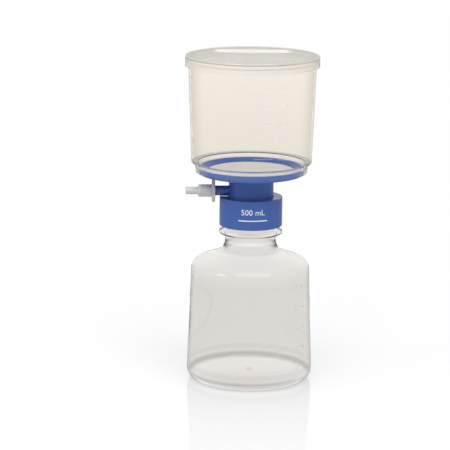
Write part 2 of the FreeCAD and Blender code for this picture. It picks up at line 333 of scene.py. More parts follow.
@dataclass(frozen=True)
class Marks:
    """Numerals and lines raised on a round wall.

    Args:
        wall: The wall that carries them.
        raised: How far they stand out.
        sunk: How far their backs lie inside the wall.
    """

    wall: RoundWall
    raised: float
    sunk: float

    SLICE = 0.6
    CUT_DISTANCE = 1e-5
    JOIN_DISTANCE = 1e-4
    CAPITAL_SHARE = 0.72
    END_ROUNDING = 0.45

    def numeral(self, text: str, azimuth: float, height: float, size: float) -> bmesh.types.BMesh:
        """A word of plain figures, centred on an azimuth and a height.

        Args:
            text: The figures.
            azimuth: Direction of the middle, in degrees.
            height: Height of the figures' foot above the floor.
            size: Height of the figures.

        Returns:
            The figures as a closed mesh on the wall.
        """
        curve = bpy.data.curves.new("figures", "FONT")
        curve.body = text
        curve.align_x = "CENTER"
        curve.size = size / self.CAPITAL_SHARE
        curve.extrude = 0.5
        curve.resolution_u = 3
        holder = placed("figures", curve)
        bpy.context.view_layer.update()
        mesh = bpy.data.meshes.new_from_object(holder)
        bpy.data.objects.remove(holder)
        bpy.data.curves.remove(curve)
        bm = bmesh.new()
        bm.from_mesh(mesh)
        bpy.data.meshes.remove(mesh)
        bmesh.ops.remove_doubles(bm, verts=bm.verts, dist=self.JOIN_DISTANCE)
        return self._wrapped(bm, azimuth, height)

    def line(self, azimuth: float, height: float, length: float, thickness: float) -> bmesh.types.BMesh:
        """A level line with soft ends.

        Args:
            azimuth: Direction of its middle, in degrees.
            height: Height above the floor.
            length: Its length along the wall.
            thickness: Its height.

        Returns:
            The line as a closed mesh on the wall.
        """
        bm = bmesh.new()
        bmesh.ops.create_cube(bm, size=1.0)
        bmesh.ops.scale(bm, vec=(length, thickness, 1.0), verts=bm.verts)
        upright = [e for e in bm.edges if abs(e.verts[0].co.z - e.verts[1].co.z) > 0.5]
        bmesh.ops.bevel(
            bm, geom=upright, offset=thickness * self.END_ROUNDING, offset_type="OFFSET", segments=3,
            profile=0.5, affect="EDGES", material=-1,
        )
        return self._wrapped(bm, azimuth, height)

    def _wrapped(self, bm: bmesh.types.BMesh, azimuth: float, height: float) -> bmesh.types.BMesh:
        """Slices a flat mark into narrow strips and bends it around the wall.

        Args:
            bm: The flat mark, in millimetres.
            azimuth: Direction of its middle, in degrees.
            height: Height of its zero above the floor.

        Returns:
            The same mesh on the wall.
        """
        across = [v.co.x for v in bm.verts]
        cut = math.floor(min(across) / self.SLICE) + 1
        while cut * self.SLICE < max(across):
            sliced(bm, (cut * self.SLICE, 0, 0), (1, 0, 0), self.CUT_DISTANCE)
            cut += 1
        middle = (self.raised - self.sunk) / 2
        for vert in bm.verts:
            proud = middle + vert.co.z * (self.raised + self.sunk)
            vert.co = self.wall.place(vert.co.x, height + vert.co.y, proud, azimuth)
        bmesh.ops.recalc_face_normals(bm, faces=bm.faces)
        return bm


@dataclass(frozen=True)
class MarkRow:
    """A row of volume marks up a wall: lines with figures beside them.

    Args:
        marks: How the marks stand on their wall.
        line_azimuth: Direction of the lines' middle, in degrees.
        line_length: Length of a line.
        line_thickness: Height of a line.
        figure_azimuth: Direction of the figures' middle, in degrees.
        figure_size: Height of the figures.
        figure_drop: How far the figures' foot lies below their line.
    """

    marks: Marks
    line_azimuth: float
    line_length: float
    line_thickness: float
    figure_azimuth: float
    figure_size: float
    figure_drop: float = 1.8

    def row(self, labels: Iterable[str], first: float, pitch: float) -> bmesh.types.BMesh:
        """All the marks as one mesh.

        Args:
            labels: The figures, from the lowest mark up.
            first: Height of the lowest line above the floor.
            pitch: Distance from one line to the next.

        Returns:
            The marks on the wall.
        """
        made = []
        for index, label in enumerate(labels):
            height = first + pitch * index
            made.append(self.marks.line(self.line_azimuth, height, self.line_length, self.line_thickness))
            foot = height - self.figure_drop
            made.append(self.marks.numeral(label, self.figure_azimuth, foot, self.figure_size))
        return joined(made)


# ---------------------------------------------------------------------------------------------------
# Shader groups and finishes
# ---------------------------------------------------------------------------------------------------


class Nodes:
    """Short calls for building one node tree."""

    def __init__(self, tree: bpy.types.NodeTree) -> None:
        """Keeps the tree and clears it."""
        self.tree = tree
        tree.nodes.clear()

    def add(self, kind: str, **settings: object) -> bpy.types.Node:
        """Adds a node.

        Args:
            kind: Its type name.
            settings: Its properties by name.

        Returns:
            The node.
        """
        node = self.tree.nodes.new(kind)
        for name, value in settings.items():
            setattr(node, name, value)
        return node

    def link(self, source: bpy.types.NodeSocket, target: bpy.types.NodeSocket) -> None:
        """Joins an output to an input."""
        self.tree.links.new(source, target)

    def noise(self, vector: bpy.types.NodeSocket, scale: float, detail: float = 3.0) -> bpy.types.NodeSocket:
        """A noise pattern's value.

        Args:
            vector: The coordinates.
            scale: Its scale, per metre.
            detail: Its number of finer layers.

        Returns:
            The value's socket.
        """
        node = self.add("ShaderNodeTexNoise")
        node.inputs["Scale"].default_value = scale
        node.inputs["Detail"].default_value = detail
        self.link(vector, node.inputs["Vector"])
        return node.outputs["Fac"]

    def ramp(self, value: bpy.types.NodeSocket, low: float, high: float,
             to_low: float = 0.0, to_high: float = 1.0) -> bpy.types.NodeSocket:
        """A value stretched from one range to another, clamped.

        Args:
            value: The value.
            low: Start of its range.
            high: End of its range.
            to_low: Result at the start.
            to_high: Result at the end.

        Returns:
            The result's socket.
        """
        node = self.add("ShaderNodeMapRange")
        node.inputs["From Min"].default_value = low
        node.inputs["From Max"].default_value = high
        node.inputs["To Min"].default_value = to_low
        node.inputs["To Max"].default_value = to_high
        self.link(value, node.inputs["Value"])
        return node.outputs["Result"]

    def math(self, operation: str, one: bpy.types.NodeSocket,
             two: bpy.types.NodeSocket | float) -> bpy.types.NodeSocket:
        """The result of one math step.

        Args:
            operation: Its name.
            one: The first value.
            two: The second value, a socket or a number.

        Returns:
            The result's socket.
        """
        node = self.add("ShaderNodeMath", operation=operation)
        self.link(one, node.inputs[0])
        if isinstance(two, float):
            node.inputs[1].default_value = two
        else:
            self.link(two, node.inputs[1])
        return node.outputs[0]

    def product(self, first: bpy.types.NodeSocket, *others: bpy.types.NodeSocket) -> bpy.types.NodeSocket:
        """The product of several values.

        Args:
            first: The first value.
            others: The others, taken in order.

        Returns:
            The product's socket.
        """
        for other in others:
            first = self.math("MULTIPLY", first, other)
        return first

    def within(self, value: bpy.types.NodeSocket, start: float, full: float, fade: float,
               end: float) -> bpy.types.NodeSocket:
        """One where a value lies in a range, fading to zero at both ends.

        Args:
            value: The value.
            start: Where it starts to rise.
            full: Where it reaches one.
            fade: Where it starts to fall.
            end: Where it is back at zero.

        Returns:
            The result's socket.
        """
        return self.product(self.ramp(value, start, full), self.ramp(value, fade, end, 1.0, 0.0))

    def split(self, vector: bpy.types.NodeSocket) -> bpy.types.Node:
        """A node that takes a vector apart.

        Args:
            vector: The vector.

        Returns:
            The node, with outputs X, Y and Z.
        """
        node = self.add("ShaderNodeSeparateXYZ")
        self.link(vector, node.inputs["Vector"])
        return node

    def length(self, vector: bpy.types.NodeSocket) -> bpy.types.NodeSocket:
        """A vector's length.

        Args:
            vector: The vector.

        Returns:
            The length's socket.
        """
        node = self.add("ShaderNodeVectorMath", operation="LENGTH")
        self.link(vector, node.inputs[0])
        return node.outputs["Value"]

    def shaded(self, colour: Colour, shade: bpy.types.NodeSocket) -> bpy.types.NodeSocket:
        """A colour made brighter or darker.

        Args:
            colour: The colour.
            shade: Its brightness.

        Returns:
            The colour's socket.
        """
        node = self.add("ShaderNodeVectorMath", operation="SCALE")
        node.inputs[0].default_value = colour
        self.link(shade, node.inputs["Scale"])
        return node.outputs["Vector"]

    def mixed(self, share: bpy.types.NodeSocket, one: bpy.types.NodeSocket,
              two: bpy.types.NodeSocket) -> bpy.types.NodeSocket:
        """A mix of two shaders.

        Args:
            share: Share of the second.
            one: The first shader.
            two: The second shader.

        Returns:
            The mixed shader's socket.
        """
        node = self.add("ShaderNodeMixShader")
        for socket, source in zip(node.inputs, (share, one, two)):
            self.link(source, socket)
        return node.outputs["Shader"]


class Group(Enum):
    """The shader groups that finishes share."""

    MOULD_SKIN = "mould_skin"
    HANDLING_MARKS = "handling_marks"


class ShaderGroups:
    """Builds each shared shader group once."""

    @staticmethod
    def tree(group: Group) -> bpy.types.NodeTree:
        """The node tree of a shared group, built on first use.

        Args:
            group: The group.

        Returns:
            Its tree.
        """
        made = bpy.data.node_groups.get(group.value)
        if made is None:
            build = {
                Group.MOULD_SKIN: ShaderGroups._mould_skin,
                Group.HANDLING_MARKS: ShaderGroups._handling_marks,
            }[group]
            made = bpy.data.node_groups.new(group.value, "ShaderNodeTree")
            build(made)
        return made

    @staticmethod
    def _open(tree: bpy.types.NodeTree, values: dict[str, float],
              output: str) -> tuple[Nodes, bpy.types.Node, bpy.types.Node]:
        """Starts a group that takes coordinates and values and puts out one value.

        Args:
            tree: The group's tree.
            values: Names and defaults of its values.
            output: Name of its output.

        Returns:
            The tree's node calls, its input node and its output node.
        """
        face = tree.interface
        face.new_socket(name="Vector", in_out="INPUT", socket_type="NodeSocketVector")
        for name, value in values.items():
            socket = face.new_socket(name=name, in_out="INPUT", socket_type="NodeSocketFloat")
            socket.default_value = value
        face.new_socket(name=output, in_out="OUTPUT", socket_type="NodeSocketFloat")
        nodes = Nodes(tree)
        return nodes, nodes.add("NodeGroupInput"), nodes.add("NodeGroupOutput")

    @staticmethod
    def _mould_skin(tree: bpy.types.NodeTree) -> None:
        """Height of a moulded skin: slow waves from flow with a fine grain on top.

        Args:
            tree: The group's tree.
        """
        values = {"Wave Scale": 30.0, "Grain Scale": 900.0, "Grain Share": 0.2}
        nodes, given, result = ShaderGroups._open(tree, values, "Height")
        wave = nodes.add("ShaderNodeTexNoise")
        wave.inputs["Detail"].default_value = 1.0
        grain = nodes.add("ShaderNodeTexNoise")
        grain.inputs["Detail"].default_value = 2.0
        mix = nodes.add("ShaderNodeMix", data_type="FLOAT")
        for texture, scale in ((wave, "Wave Scale"), (grain, "Grain Scale")):
            nodes.link(given.outputs["Vector"], texture.inputs["Vector"])
            nodes.link(given.outputs[scale], texture.inputs["Scale"])
        nodes.link(given.outputs["Grain Share"], mix.inputs["Factor"])
        nodes.link(wave.outputs["Fac"], mix.inputs["A"])
        nodes.link(grain.outputs["Fac"], mix.inputs["B"])
        nodes.link(mix.outputs["Result"], result.inputs["Height"])

    @staticmethod
    def _handling_marks(tree: bpy.types.NodeTree) -> None:
        """Mask of faint rubbed patches and hairlines, from zero to the amount given.

        Args:
            tree: The group's tree.
        """
        nodes, given, result = ShaderGroups._open(tree, {"Scale": 60.0, "Amount": 0.1}, "Mask")
        patches = nodes.add("ShaderNodeTexNoise")
        patches.inputs["Detail"].default_value = 4.0
        patches.inputs["Roughness"].default_value = 0.65
        nodes.link(given.outputs["Vector"], patches.inputs["Vector"])
        nodes.link(given.outputs["Scale"], patches.inputs["Scale"])
        soft = nodes.ramp(patches.outputs["Fac"], 0.48, 0.75)
        stretch = nodes.add("ShaderNodeMapping")
        stretch.inputs["Scale"].default_value = (14.0, 14.0, 0.6)
        stretch.inputs["Rotation"].default_value = (0.3, 0.5, 0.9)
        nodes.link(given.outputs["Vector"], stretch.inputs["Vector"])
        lines = nodes.noise(stretch.outputs["Vector"], 90.0, 2.0)
        hair = nodes.ramp(lines, 0.66, 0.7)
        both = nodes.math("MAXIMUM", soft, hair)
        shown = nodes.math("MULTIPLY", both, given.outputs["Amount"])
        nodes.link(shown, result.inputs["Mask"])


@dataclass(frozen=True)
class Finish:
    """What every finish of this unit has.

    Args:
        name: The material's name.
        colour: Its colour, linear.
        roughness: Roughness of the clean surface.
        ior: Index of refraction.
        wave: Scale of the slow waves in the moulded skin, per metre.
        relief: Depth of the moulded skin's bump, in millimetres.
        grain: Share of fine grain in the bump.
        marks: How much rubbed patches and hairlines roughen the surface.
    """

    name: str
    colour: Colour
    roughness: float
    ior: float = 1.5
    wave: float = 40.0
    relief: float = 0.02
    grain: float = 0.2
    marks: float = 0.1

    def material(self) -> bpy.types.Material:
        """The finish as a Blender material, built on first use.

        Returns:
            The material.
        """
        made = bpy.data.materials.get(self.name)
        if made is None:
            made = bpy.data.materials.new(self.name)
            made.use_nodes = True
            nodes = Nodes(made.node_tree)
            output = nodes.add("ShaderNodeOutputMaterial")
            shader = nodes.add("ShaderNodeBsdfPrincipled")
            shader.inputs["IOR"].default_value = self.ior
            self._dress(nodes, shader)
            nodes.link(self._surface(nodes, shader), output.inputs["Surface"])
            made.diffuse_color = (*self.colour, 1.0)
        return made

    def _coordinates(self, nodes: Nodes) -> bpy.types.NodeSocket:
        """Object coordinates."""
        return nodes.add("ShaderNodeTexCoord").outputs["Object"]

    def _shared(self, nodes: Nodes, group: Group, vector: bpy.types.NodeSocket,
                **values: float) -> bpy.types.Node:
        """Places a shared group.

        Args:
            nodes: The material's nodes.
            group: The group.
            vector: The coordinates.
            values: Its values, with _ for a space in a name.

        Returns:
            The group's node.
        """
        node = nodes.add("ShaderNodeGroup", node_tree=ShaderGroups.tree(group))
        nodes.link(vector, node.inputs["Vector"])
        for name, value in values.items():
            node.inputs[name.replace("_", " ")].default_value = value
        return node

    def _dress(self, nodes: Nodes, shader: bpy.types.Node) -> None:
        """Colour, roughness and bump of the surface.

        Args:
            nodes: The material's nodes.
            shader: The shader that they feed.
        """
        vector = self._coordinates(nodes)
        self._paint(nodes, shader, vector)
        rubbed = self._shared(nodes, Group.HANDLING_MARKS, vector, Scale=55.0, Amount=self.marks)
        add = nodes.add("ShaderNodeMath", operation="ADD", use_clamp=True)
        add.inputs[0].default_value = self.roughness
        nodes.link(rubbed.outputs["Mask"], add.inputs[1])
        nodes.link(add.outputs[0], shader.inputs["Roughness"])
        skin = self._shared(nodes, Group.MOULD_SKIN, vector, Wave_Scale=self.wave, Grain_Share=self.grain)
        bump = nodes.add("ShaderNodeBump")
        bump.inputs["Strength"].default_value = 1.0
        bump.inputs["Distance"].default_value = self.relief * MM
        nodes.link(skin.outputs["Height"], bump.inputs["Height"])
        nodes.link(bump.outputs["Normal"], shader.inputs["Normal"])

    def _paint(self, nodes: Nodes, shader: bpy.types.Node, vector: bpy.types.NodeSocket) -> None:
        """Gives the colour a slow, faint variation.

        Args:
            nodes: The material's nodes.
            shader: The shader that they feed.
            vector: The coordinates.
        """
        shade = nodes.ramp(nodes.noise(vector, 18.0, 2.0), 0.3, 0.7, 0.93, 1.04)
        nodes.link(nodes.shaded(self.colour, shade), shader.inputs["Base Color"])

    def _surface(self, nodes: Nodes, shader: bpy.types.Node) -> bpy.types.NodeSocket:
        """The shader that the material shows."""
        return shader.outputs["BSDF"]


@dataclass(frozen=True)
class ClearPlastic(Finish):
    """Glass-clear or hazy plastic that lets lamps reach what it encloses.

    Args:
        clearness: Transmission weight.
        edge_shade: Painted shade: how dark the wall's colour is made where it is seen edge on.
        edge_reach: Facing weights between which the edge shade comes in.
        coat: Weight of a clear coat, for gloss on a wall that hardly bends light.
        edge_zone: Heights between which the edge shade holds: it fades in and out over the two pairs.
        shades: Ramps of painted light and shade by height, in the tint's brightness: lower height, upper
            height, brightness at each, in metres.
        bands: Thin level lines of painted shade where a corner looks darker: height and half width in
            metres, brightness.
        shadow: Brightness of the light that passes straight through.
    """

    clearness: float = 1.0
    edge_shade: Colour = (0.12, 0.115, 0.11)
    edge_reach: tuple[float, float] = (0.6, 1.0)
    coat: float = 0.0
    edge_zone: tuple[float, float, float, float] | None = None
    shades: tuple[tuple[float, float, float, float], ...] = ()
    bands: tuple[tuple[float, float, float], ...] = ()
    shadow: Colour = (0.96, 0.96, 0.96)

    def _paint(self, nodes: Nodes, shader: bpy.types.Node, vector: bpy.types.NodeSocket) -> None:
        """Tints the wall, with painted light and shade by height and painted shade where it is seen edge on.

        Args:
            nodes: The material's nodes.
            shader: The shader that they feed.
            vector: The coordinates.
        """
        shader.inputs["Transmission Weight"].default_value = self.clearness
        shader.inputs["Coat Weight"].default_value = self.coat
        shader.inputs["Coat Roughness"].default_value = self.roughness
        cloud = nodes.noise(vector, 14.0, 2.0)
        height = nodes.split(vector).outputs["Z"]
        shade = nodes.ramp(cloud, 0.3, 0.7, 0.985, 1.005)
        # Painted light and shade: brightness ramps by height and thin dark bands in the tint.
        for steps in self.shades:
            shade = nodes.product(shade, nodes.ramp(height, *steps))
        for middle, half, brightness in self.bands:
            off = nodes.math("ABSOLUTE", nodes.math("SUBTRACT", height, middle), 0.0)
            shade = nodes.product(shade, nodes.ramp(off, half * 0.6, half, brightness, 1.0))
        # Painted shade: the colour darkens towards edge_shade where the wall is seen edge on.
        rim = nodes.add("ShaderNodeLayerWeight")
        rim.inputs["Blend"].default_value = 0.5
        mix = nodes.add("ShaderNodeMix", data_type="RGBA")
        mix.inputs["B"].default_value = (*self.edge_shade, 1.0)
        factor = nodes.ramp(rim.outputs["Facing"], *self.edge_reach)
        if self.edge_zone:
            factor = nodes.product(factor, nodes.within(height, *self.edge_zone))
        nodes.link(factor, mix.inputs["Factor"])
        nodes.link(nodes.shaded(self.colour, shade), mix.inputs["A"])
        nodes.link(mix.outputs["Result"], shader.inputs["Base Color"])

    def _surface(self, nodes: Nodes, shader: bpy.types.Node) -> bpy.types.NodeSocket:
        """Shows the plastic, but lets shadow and diffuse rays straight through.

        Args:
            nodes: The material's nodes.
            shader: The shader that they feed.

        Returns:
            The shader that the material shows.
        """
        path = nodes.add("ShaderNodeLightPath")
        passing = nodes.math("MAXIMUM", path.outputs["Is Shadow Ray"], path.outputs["Is Diffuse Ray"])
        through = nodes.add("ShaderNodeBsdfTransparent")
        through.inputs["Color"].default_value = (*self.shadow, 1.0)
        return nodes.mixed(passing, shader.outputs["BSDF"], through.outputs["BSDF"])


def grey(level: float) -> Colour:
    """A grey of the given brightness."""
    return (level, level, level)


# Painted shade in the chamber's finishes: a dark line at the rim's lower edge, a dark line at the ledge's
# step, and darkening where the walls are seen edge on. The chamber's tint is also darker towards its foot.
CHAMBER_PLASTIC = ClearPlastic(
    "clear_chamber", (0.955, 0.925, 0.875), 0.015, ior=1.01, wave=16.0, relief=0.03, grain=0.02, marks=0.03,
    edge_shade=(0.8, 0.75, 0.68), edge_reach=(0.4, 1.0), coat=0.5,
    shades=((0.18, 0.25, 0.955, 1.0),), bands=((0.2594, 0.0006, 0.45),),
)
LEDGE_PLASTIC = ClearPlastic(
    "clear_ledge", (0.96, 0.955, 0.945), 0.015, ior=1.2, wave=16.0, relief=0.03, grain=0.02, marks=0.03,
    edge_shade=(0.66, 0.64, 0.6), edge_reach=(0.6, 1.0), coat=0.3, clearness=0.42,
    bands=((0.1778, 0.00045, 0.2),),
)
SKIRT_PLASTIC = ClearPlastic(
    "clear_skirt", (0.98, 0.97, 0.95), 0.015, ior=1.2, wave=16.0, relief=0.03, grain=0.02, marks=0.03,
    edge_shade=(0.66, 0.64, 0.6), edge_reach=(0.6, 1.0), coat=0.3,
)
# Painted shade in the bottle's finish: a dark band low on the heel, a faint dark line above it, and dark
# grey where the wall is seen edge on. The tint is also lighter below 2.2 mm and towards the shoulder.
BOTTLE_PLASTIC = ClearPlastic(
    "clear_bottle", (0.845, 0.83, 0.815), 0.015, ior=1.01, wave=22.0, relief=0.03, grain=0.01, marks=0.03,
    edge_shade=grey(0.2), edge_reach=(0.64, 1.05), edge_zone=(-0.02, -0.01, 0.086, 0.095), coat=0.3,
    shades=((0.084, 0.1, 1.0, 1.13), (0.0022, 0.0045, 1.18, 0.72), (0.0062, 0.0085, 1.0, 1.389)),
    bands=((0.0122, 0.0025, 0.94),), shadow=grey(0.85),
)
BOTTLE_INSIDE = replace(BOTTLE_PLASTIC, name="clear_bottle_inside", edge_shade=(0.845, 0.83, 0.815))
# Painted shade: the heel goes black where it is seen edge on, drawing a dark line along the bottle's lower
# rim.
HEEL_EDGE_SHADE = replace(BOTTLE_PLASTIC, name="clear_heel_edge_shade", edge_shade=grey(0.0), edge_reach=(0.77, 0.92))
# Painted shade on the left grip only: its faces go black where seen edge on, and its edge has a darker tint.
GRIP_FLOOR = replace(BOTTLE_PLASTIC, name="clear_grip", edge_shade=grey(0.0), edge_reach=(0.68, 0.92))
GRIP_EDGE_SHADE = replace(GRIP_FLOOR, name="clear_grip_edge_shade", colour=(0.79, 0.775, 0.76))
# Painted shade: near black where the shoulder is seen edge on between 108 and 114.5 mm, and grey bands
# around 109.5 and 124.7 mm.
SHOULDER_PLASTIC = ClearPlastic(
    "clear_shoulder", (0.955, 0.942, 0.928), 0.015, ior=1.01, wave=22.0, relief=0.02, grain=0.01, marks=0.03,
    edge_shade=grey(0.03), edge_reach=(0.28, 0.65), edge_zone=(0.108, 0.1105, 0.1125, 0.1145), coat=0.15,
    bands=((0.1095, 0.0045, 0.84), (0.1247, 0.0036, 0.78)), shadow=grey(0.85),
)
SHOULDER_INSIDE = replace(SHOULDER_PLASTIC, name="clear_shoulder_inside", edge_shade=(0.955, 0.942, 0.928))
# Painted shade: grey where the waist is seen edge on.
WAIST_PLASTIC = replace(
    SHOULDER_PLASTIC, name="clear_waist", edge_shade=grey(0.6), edge_reach=(0.5, 0.8),
    edge_zone=(0.11, 0.111, 0.1198, 0.1204),
)
# Painted shade: a near-black line along the neck ring's lower edge, darker towards its sides.
RING_EDGE = replace(
    SHOULDER_PLASTIC, name="clear_ring_edge", edge_shade=grey(0.06), edge_reach=(-0.06, 0.3),
    edge_zone=None, bands=(),
)
BASE_PLASTIC = ClearPlastic(
    "clear_base", (0.965, 0.95, 0.935), 0.015, ior=1.0, wave=22.0, relief=0.02, grain=0.01, marks=0.03,
    edge_shade=(0.965, 0.95, 0.935), edge_reach=(0.9, 1.0),
)
GATE_PLASTIC = ClearPlastic(
    "clear_gate", (0.8, 0.79, 0.77), 0.1, ior=1.0, relief=0.05, marks=0.0, edge_shade=(0.8, 0.79, 0.77),
)
# Painted shade: a thin dark line at the height where the lid sits on the chamber's rim, and darkening where
# the lid is seen edge on.
LID_PLASTIC = ClearPlastic(
    "clear_lid", (0.965, 0.935, 0.875), 0.012, ior=1.008, wave=30.0, relief=0.012, grain=0.02, marks=0.03,
    edge_shade=(0.5, 0.48, 0.45), edge_reach=(0.8, 1.0), coat=1.0, clearness=0.7,
    bands=((0.2631, 0.0007, 0.6),),
)
LID_TOP_PLASTIC = ClearPlastic(
    "clear_lid_top", (1.0, 0.96, 0.83), 0.012, ior=1.008, wave=30.0, relief=0.012, grain=0.02, marks=0.03,
    edge_shade=(1.0, 0.96, 0.83), edge_reach=(0.9, 1.0), coat=1.0, clearness=0.7,
)
MARK_PLASTIC = ClearPlastic(
    "raised_marks", (1.0, 1.0, 1.0), 0.2, ior=1.15, relief=0.01, marks=0.0, clearness=0.88,
    edge_shade=grey(0.95), edge_reach=(0.8, 1.0),
)
BLUE_PLASTIC = Finish(
    "moulded_blue", (0.06, 0.135, 0.44), 0.18, wave=60.0, relief=0.02, grain=0.35, marks=0.12,
)
# Painted shade: the adapter darkens where it is seen edge on.
WHITE_PLASTIC = ClearPlastic(
    "moulded_white", (0.86, 0.87, 0.89), 0.3, relief=0.02, grain=0.3, marks=0.08, clearness=0.35,
    edge_shade=(0.7, 0.7, 0.73), shadow=grey(0.4),
)
MEMBRANE_FILM = Finish(
    "membrane_film", (0.80, 0.80, 0.78), 0.85, wave=60.0, relief=0.03, grain=0.9, marks=0.05,
)
PLUG_FIBRE = Finish("plug_fibre", (0.85, 0.85, 0.82), 0.9, relief=0.1, grain=0.9, marks=0.0)
GASKET_FOAM = Finish("gasket_foam", (0.72, 0.72, 0.70), 0.8, relief=0.08, grain=0.9, marks=0.0)
WHITE_INK = Finish("white_ink", (0.97, 0.98, 1.0), 0.45, relief=0.005, marks=0.1)


# ---------------------------------------------------------------------------------------------------
# Pieces
# ---------------------------------------------------------------------------------------------------


@dataclass(frozen=True)
class Spot:
    """Where one face of a turned shell lies.

    Args:
        radius: Distance of its middle from the axis.
        height: Height of its middle.
        azimuth: Direction of its middle, in degrees.
        outer: Whether it faces away from the axis.
    """

    radius: float
    height: float
    azimuth: float
    outer: bool

    @classmethod
    def of(cls, face: bpy.types.MeshPolygon) -> "Spot":
        """The spot of a mesh's face.

        Args:
            face: The face.

        Returns:
            Its spot.
        """
        middle = face.center / MM
        return cls(
            math.hypot(middle.x, middle.y), middle.z, math.degrees(math.atan2(middle.x, -middle.y)),
            middle.x * face.normal.x + middle.y * face.normal.y > 0.0,
        )


@dataclass
class Piece:
    """A sub-assembly that builds meshes for one CAD node and rides on that node's body.

    Args:
        node: The CAD node.
        body: The body that it belongs to.
    """

    node: str
    body: str

    @property
    def low(self) -> float:
        """Height of the node's lowest point, in millimetres."""
        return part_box(self.node)[0][2] / MM

    def add(self, name: str, bm: bmesh.types.BMesh, finish: Finish, slot: str,
            replaces: bool = False) -> bpy.types.Object:
        """Finishes a mesh as an object of this piece.

        Args:
            name: The object's name.
            bm: Its mesh, in metres, freed here.
            finish: Its finish.
            slot: The record's material slot; not used.
            replaces: Whether it stands for the CAD node.

        Returns:
            The object.
        """
        mesh = bpy.data.meshes.new(name)
        bm.to_mesh(mesh)
        bm.free()
        mesh.polygons.foreach_set("use_smooth", [True] * len(mesh.polygons))
        mesh.set_sharp_from_angle(angle=SHARP_ANGLE)
        mesh.materials.append(finish.material())
        piece = placed(name, mesh)
        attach(piece, self.body)
        if replaces:
            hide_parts(self.node)
        LOG.info("%s: %d faces on %s", name, len(mesh.polygons), self.body)
        return piece

    @staticmethod
    def dress_part(piece: bpy.types.Object, finish: Finish, chosen: Callable[[Spot], bool]) -> None:
        """Gives another finish to some faces.

        Args:
            piece: The object.
            finish: The finish.
            chosen: Tells from a face's spot whether it gets the finish.
        """
        mesh = piece.data
        mesh.materials.append(finish.material())
        for face in mesh.polygons:
            if chosen(Spot.of(face)):
                face.material_index = len(mesh.materials) - 1

    def dress_node(self, finish: Finish) -> None:
        """Gives the CAD node itself a finish.

        Args:
            finish: The finish.
        """
        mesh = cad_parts[self.node].data
        mesh.materials.clear()
        mesh.materials.append(finish.material())
        LOG.info("%s: CAD node dressed", self.node)


